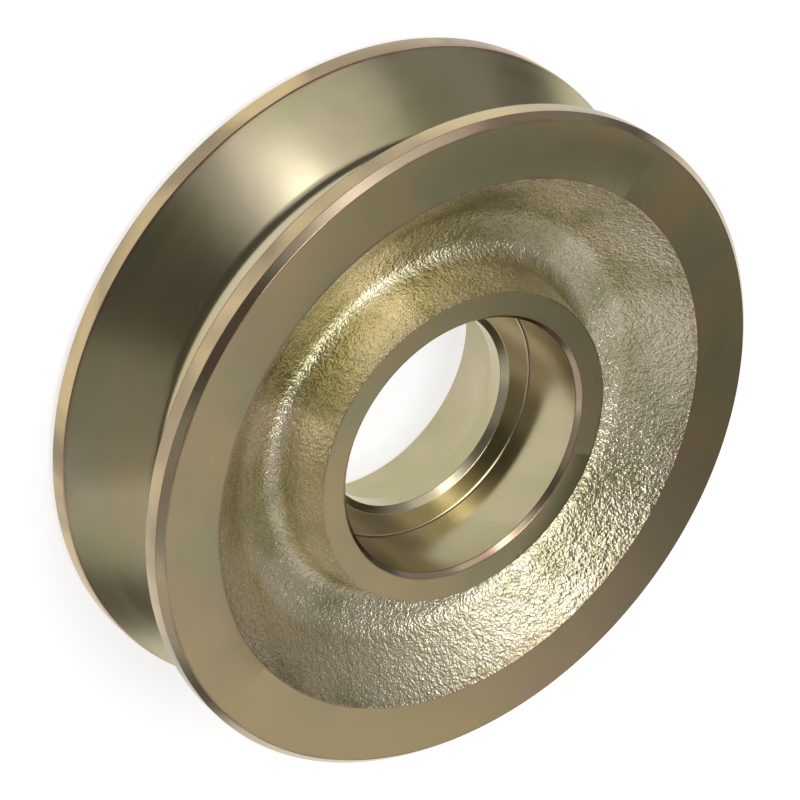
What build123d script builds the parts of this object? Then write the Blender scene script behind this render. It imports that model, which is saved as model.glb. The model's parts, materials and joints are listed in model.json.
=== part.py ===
from build123d import *
import math
import os

# Wire rope sheave: one cast and turned wheel that runs on two ball bearings.
# The wheel lies on one side face. Z is its axis, z = 0 is the lower side face,
# and every length is in millimetres.

# ---- sizes of the whole wheel -------------------------------------------
outside_diameter = 120.0
width = 33.5
rim_edge_chamfer = 1.15

# ---- rope groove --------------------------------------------------------
# The root is a little wider than half the rope, and the rope sits one and
# a half times its own diameter below the flange tops.
rope_diameter = 8.0
root_radius = 0.53 * rope_diameter
groove_depth = 1.5 * rope_diameter
groove_angle = 83.0
mouth_radius = 0.9

# ---- bearing seats, one from each side ----------------------------------
seat_diameter = 47.0
lip_diameter = 36.5
lip_width = 5.0
lip_chamfer = 1.1
seat_corner_radius = 0.4
lead_in_length = 0.8
lead_in_angle = 45.0

# ---- hub boss, dished web and machined faces ----------------------------
hub_face_diameter = 57.3
hub_face_setback = 0.35
rim_face_width = 11.3
dish_depth = 9.2
web_run = 10.5
web_slope = 15.0
boss_draft = 12.0
dish_radius = 5.0
boss_foot_radius = 3.0
face_edge_break = 0.3

# ---- derived ------------------------------------------------------------
outside_radius = outside_diameter / 2
seat_radius = seat_diameter / 2
lip_radius = lip_diameter / 2
hub_radius = hub_face_diameter / 2
rim_inner_radius = outside_radius - rim_face_width
middle = width / 2
cutter_overrun = 2.0


def tan(angle):
    return math.tan(math.radians(angle))


def height(side, depth):
    """Height of a point a given depth below one side face (+1 upper, -1 lower)."""
    return middle + side * (middle - depth)


def corner(section, radius, level):
    """The corner of the section nearest a place on it."""
    return section.vertices().sort_by_distance((radius, level, 0))[0]


def outline(points):
    return make_face(Polyline(*points, close=True))


def flank_meeting_radius():
    """Radius at which the two groove flanks would meet below the round root."""
    root = outside_radius - groove_depth
    return root - root_radius * (1 / math.sin(math.radians(groove_angle / 2)) - 1)


def flank_height(side, radius):
    """Height of one groove flank at a radius."""
    return middle + side * (radius - flank_meeting_radius()) * tan(groove_angle / 2)


def groove():
    """V groove with straight flanks that meet in a round root."""
    meeting = flank_meeting_radius()
    clear = outside_radius + cutter_overrun
    shape = outline([
        (meeting, middle),
        (clear, flank_height(1, clear)),
        (clear, flank_height(-1, clear)),
    ])
    return fillet(corner(shape, meeting, middle), root_radius)


def recess(side):
    """Dished ring between the rim and the hub boss, and the cut that faces the boss."""
    # The rim's sloping wall ends where the web begins, a set run out from the hub.
    web_edge = hub_radius + web_run
    wall_slope = (rim_inner_radius - web_edge) / dish_depth
    # The web falls gently towards the drafted wall of the boss and meets it at its foot.
    fall = tan(web_slope)
    draft = tan(boss_draft)
    boss_height = (dish_depth - hub_face_setback + fall * web_run) / (1 + fall * draft)
    foot_radius = hub_radius + boss_height * draft
    foot_level = height(side, hub_face_setback + boss_height)
    shape = outline([
        (rim_inner_radius + cutter_overrun * wall_slope, height(side, -cutter_overrun)),
        (web_edge, height(side, dish_depth)),
        (foot_radius, foot_level),
        (hub_radius, height(side, hub_face_setback)),
        (0, height(side, hub_face_setback)),
        (0, height(side, -cutter_overrun)),
    ])
    shape = fillet(corner(shape, web_edge, height(side, dish_depth)), dish_radius)
    return fillet(corner(shape, foot_radius, foot_level), boss_foot_radius)


def bearing_seat(side):
    """Flat-bottomed seat for a ball bearing, flared at its mouth."""
    floor = height(side, middle - lip_width / 2)
    flare = lead_in_length * tan(lead_in_angle)
    shape = outline([
        (0, floor),
        (seat_radius, floor),
        (seat_radius, height(side, hub_face_setback + lead_in_length)),
        (seat_radius + flare, height(side, hub_face_setback)),
        (0, height(side, hub_face_setback)),
    ])
    return fillet(corner(shape, seat_radius, floor), seat_corner_radius)


def wheel_section():
    """Half section of the wheel: radius across, height up."""
    blank = outline([
        (lip_radius, 0),
        (outside_radius, 0),
        (outside_radius, width),
        (lip_radius, width),
    ])
    section = blank - groove()
    for side in (1, -1):
        section = section - recess(side) - bearing_seat(side)

    for side in (1, -1):
        face = height(side, 0)
        section = chamfer(corner(section, outside_radius, face), rim_edge_chamfer)
        mouth = corner(section, outside_radius, flank_height(side, outside_radius))
        section = fillet(mouth, mouth_radius)
        lip_edge = corner(section, lip_radius, height(side, middle - lip_width / 2))
        section = chamfer(lip_edge, lip_chamfer)
        section = chamfer(corner(section, rim_inner_radius, face), face_edge_break)
        hub_edge = corner(section, hub_radius, height(side, hub_face_setback))
        section = chamfer(hub_edge, face_edge_break)
    return section


def sheave():
    return revolve(Plane.XZ * wheel_section(), axis=Axis.Z)


os.makedirs("parts", exist_ok=True)
wheel = sheave()
export_step(wheel, "parts/sheave.step")
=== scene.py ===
import json
import math

import bmesh
import bpy
from bpy.props import (
    FloatProperty,
    FloatVectorProperty,
    IntProperty,
    PointerProperty,
)
from mathutils import Euler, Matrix, Vector, geometry, noise


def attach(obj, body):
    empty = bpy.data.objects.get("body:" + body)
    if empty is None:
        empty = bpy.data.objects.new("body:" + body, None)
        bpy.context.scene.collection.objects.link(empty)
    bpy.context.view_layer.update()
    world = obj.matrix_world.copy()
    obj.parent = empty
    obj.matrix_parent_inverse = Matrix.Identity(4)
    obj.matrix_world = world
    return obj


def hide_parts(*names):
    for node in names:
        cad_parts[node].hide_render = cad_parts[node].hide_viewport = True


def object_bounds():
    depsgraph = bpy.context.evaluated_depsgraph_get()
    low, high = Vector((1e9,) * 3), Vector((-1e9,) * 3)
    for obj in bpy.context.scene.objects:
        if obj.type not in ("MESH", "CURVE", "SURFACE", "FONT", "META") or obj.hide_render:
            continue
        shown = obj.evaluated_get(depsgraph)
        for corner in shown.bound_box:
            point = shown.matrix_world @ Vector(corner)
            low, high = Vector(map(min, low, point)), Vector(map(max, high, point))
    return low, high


bl_info = {
    "name": "Wire rope sheave",
    "version": (1, 0, 0),
    "blender": (4, 5, 0),
    "location": "3D View > Sidebar > Sheave",
    "description": "A plated steel rope wheel with a cast web, and its stage",
    "category": "Object",
}

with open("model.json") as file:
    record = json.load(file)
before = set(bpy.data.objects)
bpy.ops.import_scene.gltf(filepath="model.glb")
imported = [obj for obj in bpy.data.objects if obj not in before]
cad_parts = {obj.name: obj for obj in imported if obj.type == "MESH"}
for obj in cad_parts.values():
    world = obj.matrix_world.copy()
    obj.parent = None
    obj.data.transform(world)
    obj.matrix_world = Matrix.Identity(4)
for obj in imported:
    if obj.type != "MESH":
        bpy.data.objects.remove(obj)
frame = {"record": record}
CAD_LOW, CAD_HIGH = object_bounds()
MOUNTS = {mount["name"]: mount for mount in frame["record"]["mounts"]}
MILLIMETRE = 0.001
MIDDLE = (CAD_LOW.z + CAD_HIGH.z) / 2

MERGE_DISTANCE = 1e-7
LEVEL_TOLERANCE = 1e-6
SMOOTH_LIMIT = math.radians(9)  # turned faces that meet at more than this stay crisp
SWELL_GRAINS = 9  # the casting's slow swell, in grains
SWELL_SHARE = 0.5  # its height against the grain's


# ---- Settings --------------------------------------------------------------
def length(name, description, default):
    """A size in metres."""
    return FloatProperty(
        name=name,
        description=description,
        default=default,
        min=0.0,
        precision=5,
        subtype="DISTANCE",
        unit="LENGTH",
    )


def slope(name, description, degrees):
    """An angle, given in degrees."""
    return FloatProperty(
        name=name,
        description=description,
        default=math.radians(degrees),
        subtype="ANGLE",
        unit="ROTATION",
    )


def colour(name, description, default):
    """A linear colour of the plating."""
    return FloatVectorProperty(
        name=name,
        description=description,
        default=default,
        size=3,
        min=0.0,
        max=1.0,
        subtype="COLOR",
    )


class SheaveSizes(bpy.types.PropertyGroup):
    """Sizes of the turned wheel."""

    outside_radius: length(
        "Outside radius",
        "Radius of the flange tops",
        min(-CAD_LOW.x, -CAD_LOW.y, CAD_HIGH.x, CAD_HIGH.y),
    )
    width: length("Width", "From side face to side face", CAD_HIGH.z - CAD_LOW.z)
    rim_chamfer: length("Rim chamfer", "Chamfer round each side face", 0.00115)
    groove_depth: length("Groove depth", "From flange top to root", 0.012)
    root_radius: length("Root radius", "Round root that carries the rope", 0.00424)
    groove_angle: slope("Groove angle", "Angle between the two flanks", 83.0)
    mouth_radius: length("Mouth radius", "Rounding where a flank meets the top", 0.0009)
    seat_radius: length(
        "Seat radius",
        "Radius of each bearing seat",
        MOUNTS["upper_bearing_seat"]["dims"]["r_mm"] * MILLIMETRE,
    )
    seat_corner: length("Seat corner", "Tool radius at the bottom of a seat", 0.0004)
    shoulder_height: length(
        "Shoulder height",
        "Height of the upper bearing shoulder",
        MOUNTS["upper_shoulder"]["pos_m"][2],
    )
    lip_radius: length(
        "Lip radius",
        "Radius of the lip between the seats",
        MOUNTS["axle_clearance"]["dims"]["r_mm"] * MILLIMETRE,
    )
    lip_chamfer: length("Lip chamfer", "Chamfer on each edge of the lip", 0.0011)
    lead_in: length("Lead-in", "Depth of the chamfer at a seat's mouth", 0.0008)
    lead_in_angle: slope("Lead-in angle", "Slope of that chamfer from the axis", 45.0)
    hub_radius: length("Hub radius", "Outer radius of the hub's side face", 0.02865)
    hub_setback: length(
        "Hub setback",
        "How far the hub's side face lies below the rim's",
        CAD_HIGH.z - MOUNTS["upper_hub_face"]["pos_m"][2],
    )
    rim_face: length("Rim face", "Radial width of the rim's side face", 0.0113)
    dish_depth: length("Dish depth", "Depth where the rim wall meets the web", 0.0092)
    web_run: length("Web run", "Radial run from the hub to the rim wall", 0.0105)
    web_slope: slope("Web slope", "Fall of the web towards the hub", 15.0)
    boss_draft: slope("Boss draft", "Draft of the boss wall", 12.0)
    dish_radius: length("Dish radius", "Fillet between rim wall and web", 0.005)
    foot_radius: length("Foot radius", "Fillet between web and boss", 0.003)
    face_break: length(
        "Face break", "Broken edge between a side face and the casting", 0.0003
    )
    edge_round: length("Edge round", "Rounding left on a turned edge", 0.00014)
    steps: IntProperty(
        name="Steps", description="Steps round the wheel", default=288, min=48, max=512
    )


class CastingSizes(bpy.types.PropertyGroup):
    """Roughness and faults of the cast web."""

    grid: length("Grid", "Spacing of the rings on the cast web", 0.0005)
    grain: length("Grain", "Size of one grain of the casting", 0.0009)
    relief: length("Relief", "Height of the grain", 0.00006)
    edge_wander: FloatProperty(
        name="Edge wander",
        description="How much the grain shifts the casting's cut edges",
        default=0.8,
        min=0.0,
    )
    shift: FloatVectorProperty(
        name="Core shift",
        description="How far the mould's core sat off the turned axis",
        default=(0.0, 0.00027),
        size=2,
        subtype="TRANSLATION",
        unit="LENGTH",
    )


class PlatingColours(bpy.types.PropertyGroup):
    """Tints of the yellow plating, and a dark bronze on the flange tops that is painted
    shade.
    """

    gold: colour("Gold", "Turned faces", (0.58, 0.46, 0.25))
    olive: colour("Olive", "Greener patches of the film", (0.47, 0.43, 0.25))
    rose: colour("Rose", "Rosy patches of the film", (0.52, 0.38, 0.26))
    pale: colour("Pale", "Groove, seats and bright steel", (0.56, 0.49, 0.34))
    cast: colour("Cast", "Cast web", (0.76, 0.68, 0.50))
    # Painted shade: the flange tops are coloured dark bronze to stand in for the dark
    # reflections they show.
    painted_shade_bronze: colour("Bronze", "Flange tops", (0.27, 0.22, 0.14))
    burnt: colour("Burnt", "Film along a sharp edge", (0.40, 0.23, 0.17))


class StageSettings(bpy.types.PropertyGroup):
    """Floor, lamps and camera."""

    floor_radius: length("Floor radius", "Radius of the floor", 8.0)
    floor_colour: colour("Floor colour", "Pale floor", (0.5, 0.5, 0.5))
    camera_place: FloatVectorProperty(
        name="Camera place",
        description="Where the camera stands",
        default=(0.0001, -0.4917, 0.4838),
        size=3,
        subtype="TRANSLATION",
        unit="LENGTH",
    )
    camera_tilt: slope("Camera tilt", "Angle of the view from straight down", 46.341)
    camera_roll: slope("Camera roll", "Turn of the camera about its view", 127.003)
    lens: FloatProperty(
        name="Lens",
        description="Focal length",
        default=181.77,
        min=10.0,
        subtype="DISTANCE_CAMERA",
        unit="CAMERA",
    )


# ---- Section of the wheel --------------------------------------------------
def half_corners(s, side):
    """Corners of one side's half section, from the lip outwards.

    Each is (radius, height, rounding, steps of the rounding, zone that follows it).
    """

    def height(depth):
        return MIDDLE + side * (s.width / 2 - depth)

    half_lip = s.shoulder_height - MIDDLE
    lip_edge = MIDDLE + side * (half_lip - s.lip_chamfer)
    shoulder = MIDDLE + side * half_lip
    flare = s.lead_in * math.tan(s.lead_in_angle)
    web_edge = s.hub_radius + s.web_run
    rim_inner = s.outside_radius - s.rim_face
    fall = math.tan(s.web_slope)
    draft = math.tan(s.boss_draft)
    boss_height = (s.dish_depth - s.hub_setback + fall * s.web_run) / (1 + fall * draft)
    foot_radius = s.hub_radius + boss_height * draft
    foot_level = height(s.hub_setback + boss_height)
    seat_top = height(s.hub_setback + s.lead_in)
    hub_face = height(s.hub_setback)
    mouth = flank_rise(s, s.outside_radius)
    return [
        (s.lip_radius, lip_edge, s.edge_round, 2, "lip_chamfer"),
        (s.lip_radius + s.lip_chamfer, shoulder, s.edge_round, 2, "shoulder"),
        (s.seat_radius, shoulder, s.seat_corner, 4, "seat"),
        (s.seat_radius, seat_top, s.edge_round, 2, "lead_in"),
        (s.seat_radius + flare, hub_face, s.edge_round, 3, "hub_face"),
        (s.hub_radius, hub_face, s.face_break, 2, "boss_wall"),
        (foot_radius, foot_level, s.foot_radius, 10, "web"),
        (web_edge, height(s.dish_depth), s.dish_radius, 6, "rim_wall"),
        (rim_inner, height(0), s.face_break, 2, "rim_face"),
        (s.outside_radius - s.rim_chamfer, height(0), s.edge_round, 2, "rim_chamfer"),
        (s.outside_radius, height(s.rim_chamfer), s.edge_round, 2, "land"),
        (s.outside_radius, MIDDLE + side * mouth, s.mouth_radius, 4, "flank"),
    ]


def meeting_radius(s):
    """Radius at which the groove's flanks would meet below its round root."""
    root = s.outside_radius - s.groove_depth
    return root - s.root_radius * (1 / math.sin(s.groove_angle / 2) - 1)


def flank_rise(s, radius):
    """Distance of a groove flank from the middle plane at a radius."""
    return (radius - meeting_radius(s)) * math.tan(s.groove_angle / 2)


def section_corners(s):
    """All corners of the closed half section, in order round it."""
    upper = half_corners(s, 1)
    lower = half_corners(s, -1)
    corners = upper + [(meeting_radius(s), MIDDLE, s.root_radius, 14, "flank")]
    # Walked the other way, a stretch belongs to the corner it now ends at.
    for index in range(len(lower) - 1, -1, -1):
        radius, level, rounding, steps, _ = lower[index]
        zone = lower[index - 1][4] if index else "lip"
        corners.append((radius, level, rounding, steps, zone))
    return corners


def stretches(corners):
    """Straight stretches between the corners: (start, end, zone)."""
    ends = corners[1:] + corners[:1]
    return [(Vector(a[:2]), Vector(b[:2]), a[4]) for a, b in zip(corners, ends)]


def zone_at(lines, radius, level):
    """The zone whose stretch lies nearest a place on the section."""
    place = Vector((radius, level))

    def distance(line):
        near, along = geometry.intersect_point_line(place, line[0], line[1])
        near = line[0].lerp(line[1], min(max(along, 0.0), 1.0))
        return (place - near).length

    return min(lines, key=distance)[2]


CAST_ZONES = {"boss_wall", "web", "rim_wall"}


def draw_section(bm, corners, grid):
    """Draws the half section as wire, rounds its corners and divides the cast part."""
    verts = [bm.verts.new((radius, 0, level)) for radius, level, *_ in corners]
    for start, end in zip(verts, verts[1:] + verts[:1]):
        bm.edges.new((start, end))
    turns = []
    for index, vert in enumerate(verts):
        before = (vert.co - verts[index - 1].co).normalized()
        after = (verts[(index + 1) % len(verts)].co - vert.co).normalized()
        turns.append(before.angle(after))
    for vert, turn, (_, _, rounding, steps, _) in zip(verts, turns, corners):
        bmesh.ops.bevel(
            bm,
            geom=[vert],
            offset=rounding * math.tan(turn / 2),
            offset_type="OFFSET",
            segments=steps,
            profile=0.5,
            affect="VERTICES",
            material=-1,
        )
    lines = stretches(corners)
    for edge in bm.edges[:]:
        place = (edge.verts[0].co + edge.verts[1].co) / 2
        cuts = round(edge.calc_length() / grid) - 1
        if zone_at(lines, place.x, place.z) in CAST_ZONES and cuts > 0:
            bmesh.ops.subdivide_edges(bm, edges=[edge], cuts=cuts)


def ring_key(co):
    """Radius and height of a place, rounded so that a ring of faces shares them."""
    return (round(math.hypot(co.x, co.y), 6), round(co.z, 6))


# ---- Wheel -----------------------------------------------------------------
ZONE_FINISH = {
    "lip": "seat",
    "lip_chamfer": "shoulder",
    "shoulder": "shoulder",
    "seat": "seat",
    "lead_in": "chamfer",
    "hub_face": "side_face",
    "boss_wall": "cast_web",
    "web": "cast_web",
    "rim_wall": "cast_web",
    "rim_face": "side_face",
    "rim_chamfer": "chamfer",
    "land": "land",
    "flank": "groove",
}
FINISHES = ("side_face", "chamfer", "land", "groove", "seat", "shoulder", "cast_web")


def build_wheel(s, c):
    """The wheel's mesh, turned from its half section."""
    corners = section_corners(s)
    lines = stretches(corners)
    bm = bmesh.new()
    draw_section(bm, corners, c.grid)
    bmesh.ops.spin(
        bm,
        geom=bm.verts[:] + bm.edges[:],
        cent=(0, 0, 0),
        axis=(0, 0, 1),
        dvec=(0, 0, 0),
        angle=math.tau,
        steps=s.steps,
        use_merge=True,
        use_duplicate=False,
    )
    bmesh.ops.remove_doubles(bm, verts=bm.verts, dist=MERGE_DISTANCE)
    bmesh.ops.recalc_face_normals(bm, faces=bm.faces)

    zones = {}

    def face_zone(face):
        key = ring_key(face.calc_center_median())
        if key not in zones:
            zones[key] = zone_at(lines, *key)
        return zones[key]

    def runs_round(edge):
        first, second = (vert.co for vert in edge.verts)
        return (
            abs(first.z - second.z) < LEVEL_TOLERANCE
            and abs(first.xy.length - second.xy.length) < LEVEL_TOLERANCE
        )

    # The casting is twice as fine round the wheel as the turned faces are.
    around = [
        edge
        for edge in bm.edges
        if any(face_zone(face) in CAST_ZONES for face in edge.link_faces)
        and runs_round(edge)
    ]
    bmesh.ops.subdivide_edges(bm, edges=around, cuts=1, use_grid_fill=False)
    for face in bm.faces:
        zone = face_zone(face)
        face.material_index = FINISHES.index(ZONE_FINISH[zone])
        face.smooth = True
        face.tag = zone in CAST_ZONES
    return bm


def roughen_casting(bm, c):
    """Raises the grain of the cast web and moves it with the mould's core."""
    bm.normal_update()
    shift = Vector((c.shift[0], c.shift[1], 0))
    moves = []
    for vert in bm.verts:
        if not any(face.tag for face in vert.link_faces):
            continue
        co = vert.co
        grain = noise.fractal(co / c.grain, 1.0, 2.0, 3, noise_basis="PERLIN_ORIGINAL")
        swell = noise.noise(co / (SWELL_GRAINS * c.grain))
        rise = c.relief * (grain + SWELL_SHARE * swell)
        if all(face.tag for face in vert.link_faces):
            moves.append((vert, vert.normal * rise + shift))
        else:
            # Where the tool cut the skin, the edge only wanders in the cut plane.
            outward = Vector((co.x, co.y, 0)).normalized()
            moves.append((vert, outward * rise * c.edge_wander + shift))
    for vert, move in moves:
        vert.co += move
        vert.co.z = min(max(vert.co.z, CAD_LOW.z), CAD_HIGH.z)


def sharpen_edges(bm):
    """Keeps flat and conical faces crisp against the small roundings beside them."""
    for edge in bm.edges:
        first, second = edge.link_faces
        if first.tag != second.tag:
            edge.smooth = False
        elif not first.tag:
            edge.smooth = edge.calc_face_angle(0.0) < SMOOTH_LIMIT


# ---- Materials -------------------------------------------------------------
# Scales of the patterns, in features to the metre.
TOOL_MARKS = 6000.0
FILM_CLOUDS = 45.0
FILM_PATCHES = 19.0
CAST_CLOUDS = 60.0
CAST_SPECKS = 1300.0
FINE_GRAINS = 2100.0
COARSE_GRAINS = 900.0
EDGE_WAVES = 160.0
TOOL_MARKS_ROUND = 1.5  # features to the radian

# Depths and reaches, in metres.
TOOL_MARK_DEPTH = 0.0000004
SHOULDER_MARK_DEPTH = 0.000004
GRAIN_BUMP = 0.00022
EDGE_FULL = 0.0002
EDGE_WANDER = 0.0006
WARM_REACH = 0.0012


class Nodes:
    """Short calls for wiring a material."""

    def __init__(self, name):
        self.material = bpy.data.materials.new(name)
        self.material.use_nodes = True
        self.tree = self.material.node_tree
        self.tree.nodes.clear()
        self.place = self.add("ShaderNodeTexCoord").outputs["Object"]

    def add(self, kind, **values):
        node = self.tree.nodes.new(kind)
        for name, value in values.items():
            setattr(node, name, value)
        return node

    def link(self, source, socket):
        if isinstance(source, bpy.types.NodeSocket):
            self.tree.links.new(source, socket)
        else:
            socket.default_value = source

    def math(self, operation, *inputs):
        node = self.add("ShaderNodeMath", operation=operation)
        for socket, source in zip(node.inputs, inputs):
            self.link(source, socket)
        return node.outputs[0]

    def vector(self, operation, *inputs):
        node = self.add("ShaderNodeVectorMath", operation=operation)
        for socket, source in zip(node.inputs, inputs):
            self.link(source, socket)
        return node.outputs["Value" if operation == "LENGTH" else "Vector"]

    def combine(self, x, y):
        node = self.add("ShaderNodeCombineXYZ")
        for socket, source in zip(node.inputs, (x, y)):
            self.link(source, socket)
        return node.outputs[0]

    def noise(self, vector, scale, detail=2.0, roughness=0.5, distortion=0.0):
        node = self.add("ShaderNodeTexNoise")
        self.link(vector, node.inputs["Vector"])
        node.inputs["Scale"].default_value = scale
        node.inputs["Detail"].default_value = detail
        node.inputs["Roughness"].default_value = roughness
        node.inputs["Distortion"].default_value = distortion
        return node.outputs["Fac"]

    def ramp(self, source, low, high, to_low=0.0, to_high=1.0):
        node = self.add("ShaderNodeMapRange", interpolation_type="SMOOTHSTEP")
        for socket, value in zip(node.inputs, (source, low, high, to_low, to_high)):
            self.link(value, socket)
        return node.outputs[0]

    def mix(self, factor, first, second):
        node = self.add("ShaderNodeMix", data_type="RGBA")
        self.link(factor, node.inputs["Factor"])
        self.link(first, node.inputs["A"])
        self.link(second, node.inputs["B"])
        return node.outputs["Result"]

    def bump(self, height, distance):
        node = self.add("ShaderNodeBump")
        node.inputs["Strength"].default_value = 1.0
        node.inputs["Distance"].default_value = distance
        self.link(height, node.inputs["Height"])
        return node.outputs["Normal"]

    def polar(self):
        """Radius, angle and height of the place on the wheel."""
        split = self.add("ShaderNodeSeparateXYZ")
        self.link(self.place, split.inputs[0])
        x, y, z = split.outputs
        radius = self.vector("LENGTH", self.combine(x, y))
        return radius, self.math("ARCTAN2", y, x), z

    def around(self):
        """Direction of the turning tool's marks."""
        return self.vector(
            "NORMALIZE", self.vector("CROSS_PRODUCT", (0.0, 0.0, 1.0), self.place)
        )

    def metal(self, base, roughness, normal, anisotropy=0.0):
        shader = self.add("ShaderNodeBsdfPrincipled")
        shader.inputs["Metallic"].default_value = 1.0
        self.link(base, shader.inputs["Base Color"])
        self.link(roughness, shader.inputs["Roughness"])
        self.link(normal, shader.inputs["Normal"])
        if anisotropy:
            shader.inputs["Anisotropic"].default_value = anisotropy
            self.link(self.around(), shader.inputs["Tangent"])
        output = self.add("ShaderNodeOutputMaterial")
        self.tree.links.new(shader.outputs[0], output.inputs["Surface"])
        return self.material


def rgba(value):
    return (*value, 1.0)


def turned_finish(
    name, tints, roughness, anisotropy, across, edges=(), depth=TOOL_MARK_DEPTH
):
    """A turned and plated face: fine tool marks round the axis under a cloudy film.

    across says whether the marks follow one another along the radius, the height or
    both. edges gives the radii, and the heights from the middle, at which the film
    turns to the last tint, each with how far that tint reaches.
    """
    n = Nodes(name)
    radius, angle, height = n.polar()
    step = {"radius": radius, "height": height}.get(across)
    if step is None:
        step = n.math("ADD", radius, height)
    marks_place = n.combine(
        n.math("MULTIPLY", step, TOOL_MARKS),
        n.math("MULTIPLY", angle, TOOL_MARKS_ROUND),
    )
    marks = n.noise(marks_place, 1.0, detail=2.0, roughness=0.6)
    clouds = n.noise(n.place, FILM_CLOUDS, distortion=0.6)
    patches = n.noise(n.place, FILM_PATCHES, distortion=0.4)
    base, second, third, edge_tint = (rgba(tint) for tint in tints)
    tint = n.mix(n.ramp(clouds, 0.36, 0.66), base, second)
    tint = n.mix(n.ramp(patches, 0.50, 0.75, 0.0, 0.7), tint, third)
    wander = n.math("MULTIPLY", n.noise(n.place, EDGE_WAVES), EDGE_WANDER)
    for kind, place, reach in edges:
        value = radius
        if kind == "height":
            value = n.math("ABSOLUTE", n.math("SUBTRACT", height, MIDDLE))
        away = n.math("ABSOLUTE", n.math("SUBTRACT", value, place))
        away = n.math("ADD", away, wander)
        edge_share = n.ramp(away, EDGE_FULL, EDGE_FULL + reach, 0.75, 0.0)
        tint = n.mix(edge_share, tint, edge_tint)
    rough = n.ramp(marks, 0.25, 0.75, roughness * 0.92, roughness * 1.08)
    normal = n.bump(marks, depth)
    return n.metal(tint, rough, normal, anisotropy)


def cast_finish(name, colours, s):
    """The cast skin: fine hard grains under the same film, warmer along its cut edge at
    the rim.
    """
    n = Nodes(name)
    radius = n.polar()[0]
    clouds = n.noise(n.place, CAST_CLOUDS, detail=3.0, distortion=0.5)
    tint = n.mix(n.ramp(clouds, 0.38, 0.68), rgba(colours.cast), rgba(colours.olive))
    specks = n.noise(n.place, CAST_SPECKS, detail=1.0)
    rim_inner = s.outside_radius - s.rim_face
    rim_edge = n.ramp(radius, rim_inner - WARM_REACH, rim_inner)
    warm = n.math("MULTIPLY", rim_edge, n.ramp(specks, 0.35, 0.6))
    tint = n.mix(n.math("MULTIPLY", warm, 0.7), tint, rgba(colours.rose))
    fine = n.noise(n.place, FINE_GRAINS)
    coarse = n.noise(n.place, COARSE_GRAINS, detail=1.0)
    grain = n.math("ADD", fine, n.math("MULTIPLY", coarse, 0.8))
    rough = n.ramp(fine, 0.3, 0.7, 0.20, 0.28)
    return n.metal(tint, rough, n.bump(grain, GRAIN_BUMP))


def make_finishes(colours, s):
    """The materials of the wheel, in the order of FINISHES."""
    gold, olive, rose, pale = colours.gold, colours.olive, colours.rose, colours.pale
    painted_shade_bronze, burnt = colours.painted_shade_bronze, colours.burnt
    mouth = s.seat_radius + s.lead_in * math.tan(s.lead_in_angle)
    rim_inner = s.outside_radius - s.rim_face
    rim_outer = s.outside_radius - s.rim_chamfer
    face_circles = (mouth, s.hub_radius, rim_inner, rim_outer)
    face_edges = [("radius", circle, 0.0005) for circle in face_circles]
    chamfer_circles = (s.seat_radius, mouth, rim_outer)
    chamfer_edges = [("radius", circle, 0.0003) for circle in chamfer_circles]
    land_edges = (
        ("height", s.width / 2 - s.rim_chamfer, 0.0004),
        ("height", flank_rise(s, s.outside_radius), 0.0005),
    )
    groove_edges = (("radius", s.outside_radius, 0.0008),)
    on_face = (gold, olive, rose, burnt)
    on_chamfer = (pale, rose, gold, burnt)
    # The lands' dark bronze base is painted shade for the dark reflections on the flange
    # tops.
    on_land = (painted_shade_bronze, gold, rose, burnt)
    on_bore = (pale, olive, gold, burnt)
    on_shoulder = (pale, pale, olive, burnt)
    return [
        turned_finish("turned_side_face", on_face, 0.22, 0.35, "radius", face_edges),
        turned_finish("turned_chamfer", on_chamfer, 0.20, 0.3, "both", chamfer_edges),
        turned_finish("turned_land", on_land, 0.26, 0.5, "height", land_edges),
        turned_finish("turned_groove", on_bore, 0.22, 0.4, "both", groove_edges),
        turned_finish("bored_seat", on_bore, 0.20, 0.4, "height"),
        turned_finish(
            "turned_shoulder",
            on_shoulder,
            0.22,
            0.5,
            "radius",
            depth=SHOULDER_MARK_DEPTH,
        ),
        cast_finish("cast_web", colours, s),
    ]


# ---- Operators -------------------------------------------------------------
class SHEAVE_OT_wheel(bpy.types.Operator):
    """Turns the wheel, roughens its cast web and plates it"""

    bl_idname = "sheave.wheel"
    bl_label = "Make wheel"
    bl_options = {"REGISTER", "UNDO"}

    def execute(self, context):
        sizes = context.scene.sheave_sizes
        casting = context.scene.sheave_casting
        bm = build_wheel(sizes, casting)
        roughen_casting(bm, casting)
        bm.normal_update()
        sharpen_edges(bm)
        mesh = bpy.data.meshes.new("rope_wheel")
        bm.to_mesh(mesh)
        bm.free()
        for material in make_finishes(context.scene.sheave_colours, sizes):
            mesh.materials.append(material)
        wheel = bpy.data.objects.new("rope_wheel", mesh)
        context.scene.collection.objects.link(wheel)
        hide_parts("sheave")
        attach(wheel, "root")
        return {"FINISHED"}


class SHEAVE_OT_stage(bpy.types.Operator):
    """Lays the floor, hangs the lamps and sets up the camera"""

    bl_idname = "sheave.stage"
    bl_label = "Make stage"
    bl_options = {"REGISTER", "UNDO"}

    def execute(self, context):
        stage = context.scene.sheave_stage
        make_floor(context.scene, stage)
        make_lamps(context.scene)
        make_world(context.scene)
        make_camera(context.scene, stage)
        context.scene.view_settings.view_transform = "Standard"
        return {"FINISHED"}


FLOOR_GAP = 0.0002  # keeps the floor clear of the wheel's lower face
FLOOR_GLOW = 0.72
ROOM_COLOUR = (1.0, 0.98, 0.93)
ROOM_GLOW = 0.092


def make_floor(scene, stage):
    """A pale round floor just under the wheel."""
    bm = bmesh.new()
    bmesh.ops.create_circle(bm, cap_ends=True, segments=96, radius=stage.floor_radius)
    bmesh.ops.translate(bm, verts=bm.verts, vec=(0, 0, CAD_LOW.z - FLOOR_GAP))
    mesh = bpy.data.meshes.new("floor")
    bm.to_mesh(mesh)
    bm.free()
    mesh.materials.append(floor_material(stage))
    floor = bpy.data.objects.new("floor", mesh)
    scene.collection.objects.link(floor)


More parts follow.
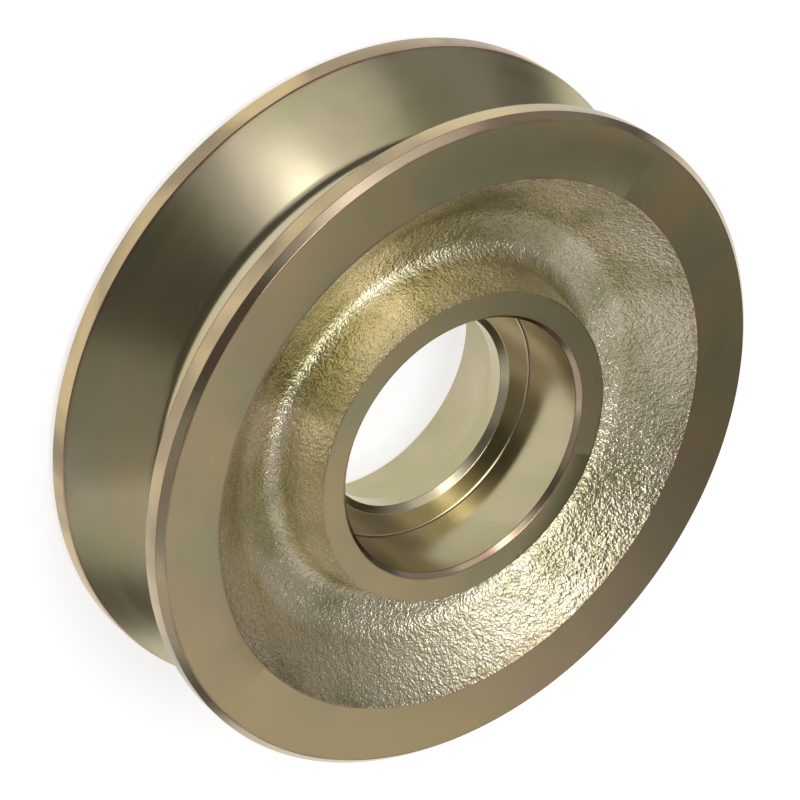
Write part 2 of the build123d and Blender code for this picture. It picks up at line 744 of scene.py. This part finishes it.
def floor_material(stage):
    """Pale matt floor that shows near white and still takes the wheel's shadow."""
    material = bpy.data.materials.new("pale_floor")
    material.use_nodes = True
    tree = material.node_tree
    tree.nodes.clear()
    matt = tree.nodes.new("ShaderNodeBsdfDiffuse")
    matt.inputs["Color"].default_value = rgba(stage.floor_colour)
    glow = tree.nodes.new("ShaderNodeEmission")
    glow.inputs["Color"].default_value = (1, 1, 1, 1)
    path = tree.nodes.new("ShaderNodeLightPath")
    seen = path.outputs["Is Camera Ray"]
    for name in ("Is Glossy Ray", "Is Transmission Ray"):
        either = tree.nodes.new("ShaderNodeMath")
        either.operation = "MAXIMUM"
        tree.links.new(seen, either.inputs[0])
        tree.links.new(path.outputs[name], either.inputs[1])
        seen = either.outputs[0]
    share = tree.nodes.new("ShaderNodeMath")
    share.operation = "MULTIPLY"
    share.inputs[1].default_value = FLOOR_GLOW
    tree.links.new(seen, share.inputs[0])
    tree.links.new(share.outputs[0], glow.inputs["Strength"])
    both = tree.nodes.new("ShaderNodeAddShader")
    tree.links.new(matt.outputs[0], both.inputs[0])
    tree.links.new(glow.outputs[0], both.inputs[1])
    output = tree.nodes.new("ShaderNodeOutputMaterial")
    tree.links.new(both.outputs[0], output.inputs["Surface"])
    return material


# name: (azimuth, elevation, distance, width, height, radiance); angles are in degrees,
# from +X towards +Y and up from the floor.
LAMPS = {
    "key_softbox": (226.5, 44.5, 1.00, 0.17, 0.17, 3.6),
    "key_halo": (214, 44, 0.95, 0.80, 0.60, 0.75),
    "front_fill": (240, 52, 0.95, 0.50, 0.50, 0.34),
    "overhead_softbox": (230, 76, 1.00, 0.50, 0.50, 4.8),
    "back_panel": (57, 42, 1.10, 1.00, 0.75, 0.52),
    "back_left_panel": (122, 48, 1.10, 0.60, 0.60, 0.30),
    "low_back_strip": (90, 13, 1.20, 1.60, 0.36, 0.60),
    "right_panel": (15, 35, 1.10, 0.80, 0.90, 0.50),
    "front_right_panel": (335, 38, 1.10, 0.80, 0.90, 0.23),
    "left_panel": (165, 32, 1.10, 0.80, 0.90, 0.22),
}


def make_lamps(scene):
    """Soft lamps that all face the wheel."""
    centre = (CAD_LOW + CAD_HIGH) / 2
    for name, (azimuth, elevation, distance, width, height, radiance) in LAMPS.items():
        lamp = bpy.data.lights.new(name, "AREA")
        lamp.shape = "RECTANGLE"
        lamp.size, lamp.size_y = width, height
        # An area lamp spreads its power evenly, so this gives it the radiance.
        lamp.energy = radiance * math.pi * width * height
        aim = Vector((1, 0, 0))
        aim.rotate(Euler((0, -math.radians(elevation), math.radians(azimuth))))
        holder = bpy.data.objects.new(name, lamp)
        holder.location = centre + aim * distance
        holder.rotation_mode = "QUATERNION"
        holder.rotation_quaternion = aim.to_track_quat("Z", "Y")
        holder.visible_camera = False
        scene.collection.objects.link(holder)


def make_world(scene):
    """A dim room, so that the metal has something darker than the lamps to show."""
    world = bpy.data.worlds.new("studio_room")
    world.use_nodes = True
    background = world.node_tree.nodes["Background"]
    background.inputs["Color"].default_value = rgba(ROOM_COLOUR)
    background.inputs["Strength"].default_value = ROOM_GLOW
    scene.world = world


def make_camera(scene, stage):
    """A long lens that looks down on the wheel from the front."""
    lens = bpy.data.cameras.new("camera")
    lens.lens = stage.lens
    lens.sensor_width = 36.0
    lens.clip_start = 0.01
    camera = bpy.data.objects.new("camera", lens)
    camera.location = stage.camera_place
    # Tilted about X last, so that the roll turns the picture only.
    camera.rotation_mode = "ZYX"
    camera.rotation_euler = (stage.camera_tilt, 0.0, stage.camera_roll)
    scene.collection.objects.link(camera)
    scene.camera = camera


class SHEAVE_PT_panel(bpy.types.Panel):
    """Settings of the sheave and its stage"""

    bl_idname = "SHEAVE_PT_panel"
    bl_label = "Wire rope sheave"
    bl_space_type = "VIEW_3D"
    bl_region_type = "UI"
    bl_category = "Sheave"

    def draw(self, context):
        layout = self.layout
        layout.use_property_split = True
        for title, (place, settings) in SETTINGS.items():
            box = layout.box()
            box.label(text=title)
            group = getattr(context.scene, place)
            for name in settings.__annotations__:
                box.prop(group, name)
        for operator in OPERATORS:
            layout.operator(operator.bl_idname)


SETTINGS = {
    "Sizes": ("sheave_sizes", SheaveSizes),
    "Casting": ("sheave_casting", CastingSizes),
    "Plating": ("sheave_colours", PlatingColours),
    "Stage": ("sheave_stage", StageSettings),
}
OPERATORS = (SHEAVE_OT_wheel, SHEAVE_OT_stage)


def register():
    for name, group in SETTINGS.values():
        bpy.utils.register_class(group)
        setattr(bpy.types.Scene, name, PointerProperty(type=group))
    for operator in OPERATORS:
        bpy.utils.register_class(operator)
    bpy.utils.register_class(SHEAVE_PT_panel)


def unregister():
    bpy.utils.unregister_class(SHEAVE_PT_panel)
    for operator in reversed(OPERATORS):
        bpy.utils.unregister_class(operator)
    for name, group in SETTINGS.values():
        delattr(bpy.types.Scene, name)
        bpy.utils.unregister_class(group)


def main():
    register()
    bpy.ops.sheave.wheel()
    bpy.ops.sheave.stage()


if __name__ == "__main__":
    main()
